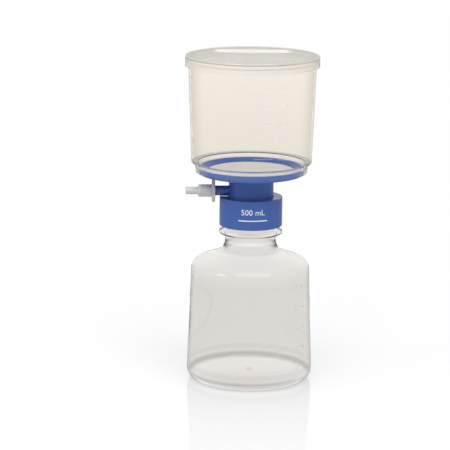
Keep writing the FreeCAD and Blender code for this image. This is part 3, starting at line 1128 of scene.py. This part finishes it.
@dataclass
class Bottle(Piece):
    """Clear receiver bottle with a screw neck, graduations and two shallow grips."""

    node: str = "receiver_bottle"
    body: str = "bottle"
    wall: float = 1.4
    side_r: float = 51.0
    taper: float = 0.037
    heel: float = 9.0
    sole_z: float = 0.2
    sole_r: float = 43.7
    heel_z: float = 3.5
    push_up: float = 5.4
    dome_r: float = 16.0
    dome_round: float = 90.0
    dome_edge_r: float = 31.0
    dome_edge_z: float = 1.9
    dome_edge_round: float = 40.0
    foot_r: float = 38.5
    foot_round: float = 8.0
    gate_r: float = 3.0
    shoulder_z: float = 97.2
    shoulder_round: float = 8.7
    shoulder_angle: float = 20.2
    slope_z: float = 100.5
    flare_z: float = 114.6
    waist_r: float = 20.6
    waist_top: float = 120.0
    neck_fillet: float = 10.0
    ring_r: float = 25.2
    ring_low_z: float = 120.4
    ring_edge_z: float = 121.7
    ring_high_z: float = 123.4
    ring_edge_width: float = 0.65
    neck_foot_z: float = 123.8
    neck_round: float = 0.6
    lip_round: float = 0.4
    neck_r: float = 20.7
    bore_r: float = 18.6
    lip_z: float = 144.5
    thread_crest_r: float = 22.3
    thread_pitch: float = 4.0
    thread_width: float = 2.4
    thread_drop: float = 14.5
    thread_turns: float = 2.6
    mark_pitch: float = 16.7
    line_azimuth: float = 25.0
    figure_azimuth: float = 50.0
    grip_azimuth: float = 112.0
    grip_half: float = 34.0
    grip_z: float = 50.0
    grip_rise: float = 22.0
    grip_fade: float = 0.14
    grip_depth: float = 0.2
    grip_levels: range = range(26, 76, 2)
    press_from_r: float = 40.0

    def build(self) -> None:
        """Builds the shell, the neck's thread and the marks."""
        shell = Turned(self._outline(), self.low, 160)
        shell.cut_levels([*self.grip_levels, self.ring_edge_z]).reshape(self._pressed_grips)
        wall = self.add("bottle_shell", shell.bm, BOTTLE_PLASTIC, "bottle_plastic", replaces=True)
        self.dress_part(wall, BOTTLE_INSIDE, lambda spot: not spot.outer)
        # Painted shade: the heel, the left grip and the neck ring's lower edge get finishes that darken them
        # where seen edge on.
        self.dress_part(wall, HEEL_EDGE_SHADE, self._on_heel)
        self.dress_part(wall, GRIP_FLOOR, lambda spot: self._left_grip(spot) > 0.0)
        self.dress_part(wall, GRIP_EDGE_SHADE, lambda spot: 0.0 < self._left_grip(spot) < 1.0)
        self.dress_part(wall, SHOULDER_PLASTIC, lambda spot: spot.height > self.slope_z and spot.outer)
        self.dress_part(wall, WAIST_PLASTIC, lambda spot: spot.height > self.flare_z and spot.outer)
        self.dress_part(wall, SHOULDER_INSIDE, lambda spot: spot.height > self.slope_z and not spot.outer)
        self.dress_part(wall, RING_EDGE, self._on_ring_edge)
        self.dress_part(wall, BASE_PLASTIC, lambda spot: self._in_base(spot, self.sole_r))
        self.dress_part(wall, GATE_PLASTIC, lambda spot: self._in_base(spot, self.gate_r))
        thread = screw_ridge(
            self.neck_r, self.thread_crest_r, self.thread_width, self.lip_z - self.thread_drop,
            self.thread_pitch, self.thread_turns,
        )
        self.add("bottle_thread", thread, SHOULDER_PLASTIC, "bottle_plastic")
        marks = Marks(RoundWall(self.side_r, -self.taper), raised=0.2, sunk=0.15)
        row = MarkRow(
            marks, self.line_azimuth, line_length=11.0, line_thickness=0.55,
            figure_azimuth=self.figure_azimuth, figure_size=3.4,
        )
        made = row.row([f"{100 * index} mL" for index in range(1, 6)], self.mark_pitch, self.mark_pitch)
        self.add("bottle_marks", made, MARK_PLASTIC, "bottle_plastic")

    def _on_heel(self, spot: Spot) -> bool:
        """Whether a face belongs to the lowest part of the outside."""
        return spot.outer and self.sole_z < spot.height < self.heel_z

    def _in_base(self, spot: Spot, radius: float) -> bool:
        """Whether a face belongs to the base within a radius."""
        return spot.height < self.heel and spot.radius < radius

    def _on_ring_edge(self, spot: Spot) -> bool:
        """Whether a face belongs to the neck ring's lower edge."""
        edge_r = self.ring_r - self.ring_edge_width
        return spot.radius > edge_r and self.waist_top < spot.height < self.ring_edge_z

    def _left_grip(self, spot: Spot) -> float:
        """How far an outer face is pressed in by the left grip, the only one that gets painted shade."""
        return self._grip_share(spot.azimuth, spot.height) if spot.outer and spot.azimuth < 0.0 else 0.0

    def _outline(self) -> list[Corner]:
        """Cross-section of the whole wall.

        Returns:
            Its corners, from the middle of the base around the outside and back down the inside.
        """
        slope = math.tan(math.radians(self.shoulder_angle))
        shoulder_r = self.side_r - self.taper * self.shoulder_z
        neck_z = self.shoulder_z + (shoulder_r - self.waist_r) * slope
        body = [
            Corner(0, self.push_up),
            Corner(self.gate_r, self.push_up),
            Corner(self.dome_r, self.push_up, self.dome_round),
            Corner(self.dome_edge_r, self.dome_edge_z, self.dome_edge_round),
            Corner(self.foot_r, 0, self.foot_round),
            Corner(self.side_r, 0, self.heel),
            Corner(shoulder_r, self.shoulder_z, self.shoulder_round),
            Corner(self.waist_r, neck_z, self.neck_fillet),
            Corner(self.waist_r, self.waist_top, self.neck_round),
        ]
        neck = [
            Corner(self.ring_r, self.ring_low_z, self.neck_round),
            Corner(self.ring_r, self.ring_high_z, self.neck_round),
            Corner(self.neck_r, self.neck_foot_z, self.neck_round),
            Corner(self.neck_r, self.lip_z, self.lip_round),
            Corner(self.bore_r, self.lip_z, self.lip_round),
        ]
        inside = moved_inwards(body, self.wall)
        shoulder = inside[-2]
        bore_z = shoulder.height + (shoulder.radius - self.bore_r) * slope
        bore = Corner(self.bore_r, bore_z, self.neck_fillet)
        middle = Corner(0, self.push_up + self.wall)
        return body + neck + [bore] + inside[-2::-1] + [middle]

    def _grip_share(self, azimuth: float, height: float) -> float:
        """How far a place is pressed in.

        Args:
            azimuth: Its direction, in degrees.
            height: Its height.

        Returns:
            Zero outside the grips, one on their floors.
        """
        aside = (abs(azimuth) - self.grip_azimuth) / self.grip_half
        above = (height - self.grip_z) / self.grip_rise
        return min(1.0, max(0.0, (1.0 - math.hypot(aside, above)) / self.grip_fade))

    def _pressed_grips(self, point: Vector) -> Vector:
        """Presses two shallow grips into the left and right sides of the wall.

        Args:
            point: A point of the wall, in metres.

        Returns:
            Its new place.
        """
        azimuth = math.degrees(math.atan2(point.x, -point.y))
        depth = self.grip_depth * self._grip_share(azimuth, point.z / MM)
        radius = math.hypot(point.x, point.y)
        if depth == 0.0 or radius < self.press_from_r * MM:
            return point
        scale = 1.0 - depth * MM / radius
        return Vector((point.x * scale, point.y * scale, point.z))


@dataclass
class Collar(Piece):
    """Blue screw collar with a plain white capacity print."""

    node: str = "neck_collar"
    body: str = "collar"
    outer_r: float = 25.25
    bore_r: float = 22.75
    height: float = 23.4
    inner_top: float = 21.1
    hole_r: float = 18.35
    thread_depth: float = 1.1
    thread_width: float = 1.6
    thread_z: float = 3.0
    thread_pitch: float = 4.0
    thread_turns: float = 2.4
    print_z: float = 12.6
    print_size: float = 4.6
    rule_z: float = 8.0
    rule_length: float = 24.0
    rule_thickness: float = 0.8

    def build(self) -> None:
        """Builds the ring, its inner thread and its print."""
        ring = Turned([
            Corner(self.bore_r, 0, 0.3),
            Corner(self.outer_r, 0, 0.5),
            Corner(self.outer_r, self.height, 0.8),
            Corner(self.hole_r, self.height, 0.3),
            Corner(self.hole_r, self.inner_top),
            Corner(self.bore_r, self.inner_top, 0.6),
        ], self.low, 128)
        thread = screw_ridge(
            self.bore_r, self.bore_r - self.thread_depth, self.thread_width, self.low + self.thread_z,
            self.thread_pitch, self.thread_turns,
        )
        self.add("collar_ring", joined([ring.bm, thread]), BLUE_PLASTIC, "blue_plastic", replaces=True)
        marks = Marks(RoundWall(self.outer_r), raised=0.03, sunk=0.1)
        made = [
            marks.numeral("500 mL", 0.0, self.low + self.print_z, self.print_size),
            marks.line(0.0, self.low + self.rule_z, self.rule_length, self.rule_thickness),
        ]
        self.add("collar_print", joined(made), WHITE_INK, "white_print")


@dataclass
class FilterBase(Piece):
    """Blue dish, hub, flange and side port."""

    node: str = "filter_base"
    body: str = "head"

    def build(self) -> None:
        """Dresses the CAD node, whose shape is right."""
        self.dress_node(BLUE_PLASTIC)


@dataclass
class Membrane(Piece):
    """Round white filter membrane."""

    node: str = "filter_membrane"
    body: str = "head"

    def build(self) -> None:
        """Dresses the CAD node."""
        self.dress_node(MEMBRANE_FILM)


@dataclass
class Gasket(Piece):
    """Soft ring on the bottle's lip."""

    node: str = "neck_gasket"
    body: str = "gasket"

    def build(self) -> None:
        """Dresses the CAD node."""
        self.dress_node(GASKET_FOAM)


@dataclass
class Adapter(Piece):
    """Stepped tube adapter with its plug."""

    node: str = "tube_adapter"
    body: str = "adapter"

    def build(self) -> None:
        """Dresses the CAD nodes."""
        self.dress_node(WHITE_PLASTIC)
        Piece("adapter_plug", self.body).dress_node(PLUG_FIBRE)


@dataclass
class Chamber(Piece):
    """Clear conical upper chamber with its graduations."""

    node: str = "upper_chamber"
    body: str = "head"
    wall: float = 1.5
    top_r: float = 51.1
    bottom_r: float = 48.2
    rim_r: float = 52.1
    rim_height: float = 3.3
    height: float = 92.4
    seat_r: float = 40.2
    skirt_inner_r: float = 42.1
    skirt_outer_r: float = 44.7
    skirt_neck_r: float = 44.3
    skirt_lip: float = 1.1
    ledge_z: float = 4.2
    ledge_r: float = 43.5
    ledge_top: float = 5.6
    milky_z: float = 5.9
    flare_r: float = 46.0
    flare_z: float = 7.2
    step_z: float = 7.8
    floor_z: float = 9.1
    line_azimuth: float = 7.0
    figure_azimuth: float = 25.0
    first_line_z: float = 18.8
    mark_pitch: float = 14.0

    def build(self) -> None:
        """Builds the chamber's wall and its marks."""
        milky = self.low + self.milky_z
        inner_ledge = self.low + self.ledge_z - 0.1
        shell = Turned(self._outline(), self.low, 160).cut_levels([milky])
        wall = self.add("chamber_shell", shell.bm, CHAMBER_PLASTIC, "chamber_plastic", replaces=True)
        top = self.low + self.step_z + 0.3
        self.dress_part(wall, SKIRT_PLASTIC, lambda spot: spot.height < top)
        self.dress_part(
            wall, LEDGE_PLASTIC,
            lambda spot: (milky if spot.radius > self.ledge_r else inner_ledge) < spot.height < top,
        )
        slope = (self.top_r - self.bottom_r) / (self.height - self.rim_height - self.step_z)
        foot_r = self.bottom_r - slope * (self.low + self.step_z)
        marks = Marks(RoundWall(foot_r, slope), raised=0.12, sunk=0.1)
        row = MarkRow(
            marks, self.line_azimuth, line_length=16.0, line_thickness=0.6,
            figure_azimuth=self.figure_azimuth, figure_size=3.8,
        )
        labels = [str(100 * index) for index in range(1, 6)]
        made = row.row(labels, self.low + self.first_line_z, self.mark_pitch)
        self.add("chamber_marks", made, MARK_PLASTIC, "chamber_plastic")

    def _outline(self) -> list[Corner]:
        """Cross-section of the wall.

        Returns:
            Its corners, from the ledge around the skirt and up.
        """
        return [
            Corner(self.seat_r, self.ledge_z),
            Corner(self.skirt_inner_r, self.ledge_z, 0.2),
            Corner(self.skirt_inner_r, 0.0),
            Corner(self.skirt_outer_r, 0.0, 0.3),
            Corner(self.skirt_outer_r, self.skirt_lip, 0.3),
            Corner(self.skirt_neck_r, self.skirt_lip),
            Corner(self.flare_r, self.flare_z, 0.4),
            Corner(self.bottom_r, self.step_z, 1.0),
            Corner(self.top_r, self.height - self.rim_height),
            Corner(self.rim_r, self.height - self.rim_height, 0.4),
            Corner(self.rim_r, self.height, 0.4),
            Corner(self.top_r - self.wall, self.height, 0.4),
            Corner(self.bottom_r - self.wall, self.floor_z, 1.0),
            Corner(self.seat_r, self.ledge_top, 0.4),
        ]


@dataclass
class Lid(Piece):
    """Hazy moulded lid, slightly dished, with ribs inside its skirt."""

    node: str = "lid"
    body: str = "lid"
    outer_r: float = 53.5
    inner_r: float = 52.5
    lead_in_r: float = 52.8
    lead_in_height: float = 2.2
    plug_r: float = 49.2
    plug_z: float = 6.9
    under_rim: float = 7.3
    height: float = 8.4
    dish: float = 0.5
    ribs: int = 8
    rib_width: float = 1.6
    rib_depth: float = 0.3
    turned_by: float = -3.3

    def build(self) -> None:
        """Builds the lid's disc, skirt and ribs."""
        under = dished(Corner(self.plug_r, self.plug_z, 0.2), self.dish)
        upper = dished(Corner(self.outer_r, self.height, 0.8), self.dish)
        disc = Turned(under + [
            Corner(self.plug_r, self.under_rim, 0.2),
            Corner(self.inner_r, self.under_rim, 0.3),
            Corner(self.inner_r, self.lead_in_height),
            Corner(self.lead_in_r, self.lead_in_height),
            Corner(self.lead_in_r, 0, 0.2),
            Corner(self.outer_r, 0, 0.3),
        ] + upper[::-1], self.low, 160)
        ribs = [self._rib(360.0 * (index + 0.5) / self.ribs + self.turned_by) for index in range(self.ribs)]
        moulding = self.add("lid_disc", joined([disc.bm] + ribs), LID_PLASTIC, "lid_plastic", replaces=True)
        top = self.low + self.height
        self.dress_part(moulding, LID_TOP_PLASTIC, lambda spot: spot.height > top - self.dish - 0.2)

    def _rib(self, azimuth: float) -> bmesh.types.BMesh:
        """One upright rib inside the skirt.

        Args:
            azimuth: Its direction, in degrees.

        Returns:
            The rib as a closed mesh.
        """
        bm = bmesh.new()
        tall = self.under_rim - self.lead_in_height
        bmesh.ops.create_cube(bm, size=1.0)
        bmesh.ops.scale(bm, vec=(self.rib_width * MM, 2 * self.rib_depth * MM, tall * MM), verts=bm.verts)
        middle = (self.low + self.lead_in_height + tall / 2) * MM
        bmesh.ops.translate(bm, vec=(0, -self.inner_r * MM, middle), verts=bm.verts)
        turn = Matrix.Rotation(math.radians(azimuth), 3, "Z")
        bmesh.ops.rotate(bm, cent=(0, 0, 0), matrix=turn, verts=bm.verts)
        return bm


# ---------------------------------------------------------------------------------------------------
# Studio
# ---------------------------------------------------------------------------------------------------


@dataclass(frozen=True)
class Lamp:
    """A rectangular lamp aimed at the middle of the unit.

    Args:
        name: Its name.
        place: Where it stands, in metres.
        size: Its width and height, in metres.
        power: Its power, in watts.
    """

    name: str
    place: Point
    size: tuple[float, float]
    power: float

    AIM = Vector((0, 0, 0.15))

    def build(self) -> None:
        """Builds the lamp."""
        lamp = bpy.data.lights.new(self.name, "AREA")
        lamp.shape = "RECTANGLE"
        lamp.size, lamp.size_y = self.size
        lamp.energy = self.power
        place = Vector(self.place)
        turn = (self.AIM - place).to_track_quat("-Z", "Y").to_matrix().to_4x4()
        placed(self.name, lamp).matrix_world = Matrix.Translation(place) @ turn


@dataclass
class Studio:
    """Pale floor, white surroundings, soft lamps and the camera.

    Heights in the surroundings are the Z of a direction of length one.

    Args:
        distance: Level distance from the unit's axis to the camera.
        camera_z: Height of the camera.
        azimuth: Side that the camera stands on, in degrees.
        tilt: How far the camera looks down.
        swing: How far the camera looks to the left of the unit's axis.
        roll: Turn about the line of sight.
        lens: Focal length.
        sensor: Width of the camera's sensor.
        clip_end: How far the camera sees, in metres.
        diffuse_world: Strength of the surroundings for diffuse light.
        bent_top: Their strength overhead for light that the plastic bends.
        bent_heights: Heights between which it falls to that.
        mirror_low: Their strength near the ground for mirrored light.
        mirror_band: Their strength above mirror_heights for mirrored light.
        mirror_top: Their strength above high_heights for mirrored light.
        overhead: What is added above overhead_heights.
        strip_light: Strength of the low strip lights.
        strip_count: Number of strip lights around the unit.
        strip_azimuth: Direction of the first one's middle, in degrees.
        strip_half: Half their width, in degrees.
        strip_elevations: Lower and upper edge, in degrees.
        strip_fade: Half the height over which an edge fades.
        floor_size: Half the floor's width, in metres.
        floor_drop: How far the floor lies below the unit.
        floor_brightness: Brightness of the shaded floor.
        floor_roughness: Its roughness.
        floor_lift: Its glow for the eye and for bent light.
        floor_near: Distance, in metres, up to which the floor is shaded.
        floor_far: Distance, in metres, from which it is plain white.
        glossy_floor: Brightness of the plain floor in mirrored light.
        mirror_floor: Share of the plain floor in mirrored light.
        lit_ring: Radii, in metres, over which a light ring under the bottle rises and falls.
        lit_shift: How far the ring's middle is shifted back, in metres.
        lit_gain: How much lighter the ring is.
        lit_fade: Depths, in metres, between which the ring ends behind the unit's axis.
        under_reach: Radii, in metres, between which the shade under the bottle ends.
        under_shade: How much darker the floor is there at the front.
        under_fade: Depths, in metres, between which the shade fades to the back.
        lamps: The lamps.
    """

    distance: float = 1731.0
    camera_z: float = 506.7
    azimuth: float = -4.0
    tilt: float = 12.4
    swing: float = 0.684
    roll: float = 0.58
    lens: float = 176.0
    sensor: float = 36.0
    clip_end: float = 50.0
    diffuse_world: float = 0.62
    bent_top: float = 0.25
    bent_heights: tuple[float, float] = (0.35, 0.8)
    mirror_low: float = 0.62
    mirror_band: float = 1.4
    mirror_top: float = 1.4
    mirror_heights: tuple[float, float] = (0.182, 0.19)
    high_heights: tuple[float, float] = (0.45, 0.6)
    overhead: float = 0.8
    overhead_heights: tuple[float, float] = (0.75, 0.85)
    strip_light: float = 0.75
    strip_count: int = 8
    strip_azimuth: float = 4.0
    strip_half: float = 0.79
    strip_elevations: tuple[float, float] = (8.62, 9.24)
    strip_fade: float = 0.0005
    floor_size: float = 6.0
    floor_drop: float = 0.1
    floor_brightness: float = 0.9
    floor_roughness: float = 0.1
    floor_lift: float = 0.15
    floor_near: float = 0.08
    floor_far: float = 0.4
    glossy_floor: float = 0.4
    mirror_floor: float = 0.6
    lit_ring: tuple[float, float, float, float] = (0.0448, 0.0483, 0.0503, 0.0538)
    lit_shift: float = 0.0165
    lit_gain: float = 0.25
    lit_fade: tuple[float, float] = (-0.01, 0.01)
    under_reach: tuple[float, float] = (0.047, 0.053)
    under_shade: float = 0.2
    under_fade: tuple[float, float] = (-0.035, 0.03)
    lamps: tuple[Lamp, ...] = (
        Lamp("top_softbox", (0.05, -0.75, 1.3), (1.5, 0.9), 11.0),
        Lamp("side_window", (-1.25, -0.5, 0.95), (0.4, 0.4), 3.0),
    )

    def build(self) -> None:
        """Builds the studio."""
        self._floor()
        self._world()
        for lamp in self.lamps:
            lamp.build()
        self._camera()

    def _floor(self) -> None:
        """A wide pale floor that keeps a soft shadow and a faint reflection."""
        bm = bmesh.new()
        bmesh.ops.create_grid(bm, x_segments=1, y_segments=1, size=self.floor_size)
        bmesh.ops.translate(bm, vec=(0, 0, -self.floor_drop * MM), verts=bm.verts)
        mesh = bpy.data.meshes.new("floor")
        bm.to_mesh(mesh)
        bm.free()
        floor = placed("floor", mesh)
        mesh.materials.append(self._floor_material())

    def _floor_material(self) -> bpy.types.Material:
        """White floor: shaded near the unit, plain white further out.

        Returns:
            The material.
        """
        material = bpy.data.materials.new("floor_white")
        material.use_nodes = True
        nodes = Nodes(material.node_tree)
        output = nodes.add("ShaderNodeOutputMaterial")
        shader = nodes.add("ShaderNodeBsdfPrincipled")
        shader.inputs["Base Color"].default_value = (*grey(self.floor_brightness), 1.0)
        shader.inputs["Roughness"].default_value = self.floor_roughness
        shader.inputs["Emission Color"].default_value = (*grey(1.0), 1.0)
        path = nodes.add("ShaderNodeLightPath").outputs
        through, glossy = path["Is Transmission Ray"], path["Is Glossy Ray"]
        looked = nodes.math("MAXIMUM", path["Is Camera Ray"], through)
        nodes.link(nodes.math("MULTIPLY", looked, self.floor_lift), shader.inputs["Emission Strength"])
        place = nodes.add("ShaderNodeTexCoord").outputs["Object"]
        away = nodes.length(place)
        mirrored = nodes.math("MAXIMUM", nodes.math("SUBTRACT", glossy, through), 0.0)
        dim = nodes.math("MULTIPLY", mirrored, self.glossy_floor - 1.0)
        shaded = nodes.product(through, self._contact(nodes, place, away))
        plain = nodes.add("ShaderNodeEmission")
        strength = nodes.math("SUBTRACT", nodes.math("ADD", dim, 1.0), shaded)
        nodes.link(strength, plain.inputs["Strength"])
        seen = nodes.math("MAXIMUM", looked, glossy)
        far = nodes.product(nodes.ramp(away, self.floor_near, self.floor_far), seen)
        bent = nodes.math("MAXIMUM", through, nodes.math("MULTIPLY", mirrored, self.mirror_floor))
        share = nodes.math("MAXIMUM", far, bent)
        surface = nodes.mixed(share, shader.outputs["BSDF"], plain.outputs["Emission"])
        nodes.link(surface, output.inputs["Surface"])
        return material

    def _contact(self, nodes: Nodes, place: bpy.types.NodeSocket,
                 away: bpy.types.NodeSocket) -> bpy.types.NodeSocket:
        """How much darker the floor is under the bottle, seen through its base, but for a light ring.

        Args:
            nodes: The floor's nodes.
            place: The place on the floor.
            away: Its distance from the unit's axis.

        Returns:
            The darkness's socket.
        """
        depth = nodes.split(place).outputs["Y"]
        shifted = nodes.add("ShaderNodeVectorMath", operation="SUBTRACT")
        shifted.inputs[1].default_value = (0.0, self.lit_shift, 0.0)
        nodes.link(place, shifted.inputs[0])
        ring = nodes.length(shifted.outputs["Vector"])
        start, full, fade, end = self.lit_ring
        rise = nodes.ramp(ring, start, full, 0.0, self.lit_gain)
        fall = nodes.ramp(ring, fade, end, 1.0, 0.0)
        lit = nodes.product(rise, fall, nodes.ramp(depth, *self.lit_fade, 1.0, 0.0))
        under = nodes.ramp(depth, *self.under_fade, self.under_shade, 0.0)
        near = nodes.ramp(away, *self.under_reach, 1.0, 0.0)
        return nodes.math("SUBTRACT", nodes.product(under, near), lit)

    def _world(self) -> None:
        """White to the eye; dimmer overhead for light that the plastic bends or mirrors."""
        world = bpy.data.worlds.new("studio_world")
        world.use_nodes = True
        bpy.context.scene.world = world
        nodes = Nodes(world.node_tree)
        output = nodes.add("ShaderNodeOutputWorld")
        background = nodes.add("ShaderNodeBackground")
        path = nodes.add("ShaderNodeLightPath")
        split = nodes.split(nodes.add("ShaderNodeTexCoord").outputs["Generated"])
        height = split.outputs["Z"]
        bent = nodes.ramp(height, *self.bent_heights, 1.0, self.bent_top)
        mirrored = nodes.ramp(height, *self.mirror_heights, self.mirror_low, self.mirror_band)
        for added in (
            nodes.ramp(height, *self.high_heights, 0.0, self.mirror_top - self.mirror_band),
            nodes.ramp(height, *self.overhead_heights, 0.0, self.overhead),
            nodes.math("MULTIPLY", self._strip(nodes, split), self.strip_light),
        ):
            mirrored = nodes.math("ADD", mirrored, added)
        strength = self._choose(nodes, path.outputs["Is Glossy Ray"], None, mirrored)
        strength = self._choose(nodes, path.outputs["Is Transmission Ray"], strength, bent)
        white = nodes.math("MAXIMUM", strength, path.outputs["Is Camera Ray"])
        nodes.link(white, background.inputs["Strength"])
        nodes.link(background.outputs["Background"], output.inputs["Surface"])

    def _choose(self, nodes: Nodes, test: bpy.types.NodeSocket, plain: bpy.types.NodeSocket | None,
                special: bpy.types.NodeSocket) -> bpy.types.NodeSocket:
        """Chooses between two strengths.

        Args:
            nodes: The surroundings' nodes.
            test: One where the special strength holds.
            plain: The plain strength, or None for that of diffuse light.
            special: The special strength.

        Returns:
            The chosen strength's socket.
        """
        mix = nodes.add("ShaderNodeMix", data_type="FLOAT")
        nodes.link(test, mix.inputs["Factor"])
        nodes.link(special, mix.inputs["B"])
        if plain is None:
            mix.inputs["A"].default_value = self.diffuse_world
        else:
            nodes.link(plain, mix.inputs["A"])
        return mix.outputs["Result"]

    def _strip(self, nodes: Nodes, split: bpy.types.Node) -> bpy.types.NodeSocket:
        """Where the low strip lights are.

        Args:
            nodes: The surroundings' nodes.
            split: The direction, taken apart.

        Returns:
            One in a strip light, else zero.
        """
        part = math.tau / self.strip_count
        turn = nodes.add("ShaderNodeMath", operation="ARCTAN2")
        nodes.link(split.outputs["X"], turn.inputs[0])
        nodes.link(split.outputs["Y"], turn.inputs[1])
        shift = part / 2 - math.radians(self.strip_azimuth) + math.tau
        share = nodes.math("MODULO", nodes.math("ADD", turn.outputs[0], shift), part)
        aside = nodes.math("ABSOLUTE", nodes.math("SUBTRACT", share, part / 2), 0.0)
        wide = math.radians(self.strip_half)
        across = nodes.ramp(aside, wide * 0.9, wide * 1.1, 1.0, 0.0)
        low, high = (math.sin(math.radians(elevation)) for elevation in self.strip_elevations)
        fade = self.strip_fade
        upright = nodes.within(split.outputs["Z"], low - fade, low + fade, high - fade, high + fade)
        return nodes.product(upright, across)

    def _camera(self) -> None:
        """The camera, level distance and height from the unit, with a small swing and roll."""
        camera = bpy.data.cameras.new("camera")
        camera.lens = self.lens
        camera.sensor_width = self.sensor
        camera.clip_end = self.clip_end
        side = math.radians(self.azimuth)
        place = Vector((
            math.sin(side) * self.distance, -math.cos(side) * self.distance, self.camera_z,
        )) * MM
        swing = Matrix.Rotation(math.radians(self.swing), 3, "Z")
        heading = swing @ Vector((-place.x, -place.y, 0)).normalized()
        tilt = math.radians(self.tilt)
        aim = heading * math.cos(tilt) + Vector((0, 0, -math.sin(tilt)))
        turn = aim.to_track_quat("-Z", "Y").to_matrix() @ Matrix.Rotation(math.radians(self.roll), 3, "Z")
        holder = placed("camera", camera)
        holder.matrix_world = Matrix.Translation(place) @ turn.to_4x4()
        bpy.context.scene.camera = holder


def main() -> None:
    """Builds every piece and the studio."""
    logging.basicConfig(level=logging.INFO, format="%(name)s: %(message)s")
    bpy.context.scene.view_settings.view_transform = "Standard"
    for piece in (Bottle(), Gasket(), Collar(), FilterBase(), Membrane(), Adapter(), Chamber(), Lid()):
        piece.build()
    Studio().build()


if __name__ == "__main__":
    main()
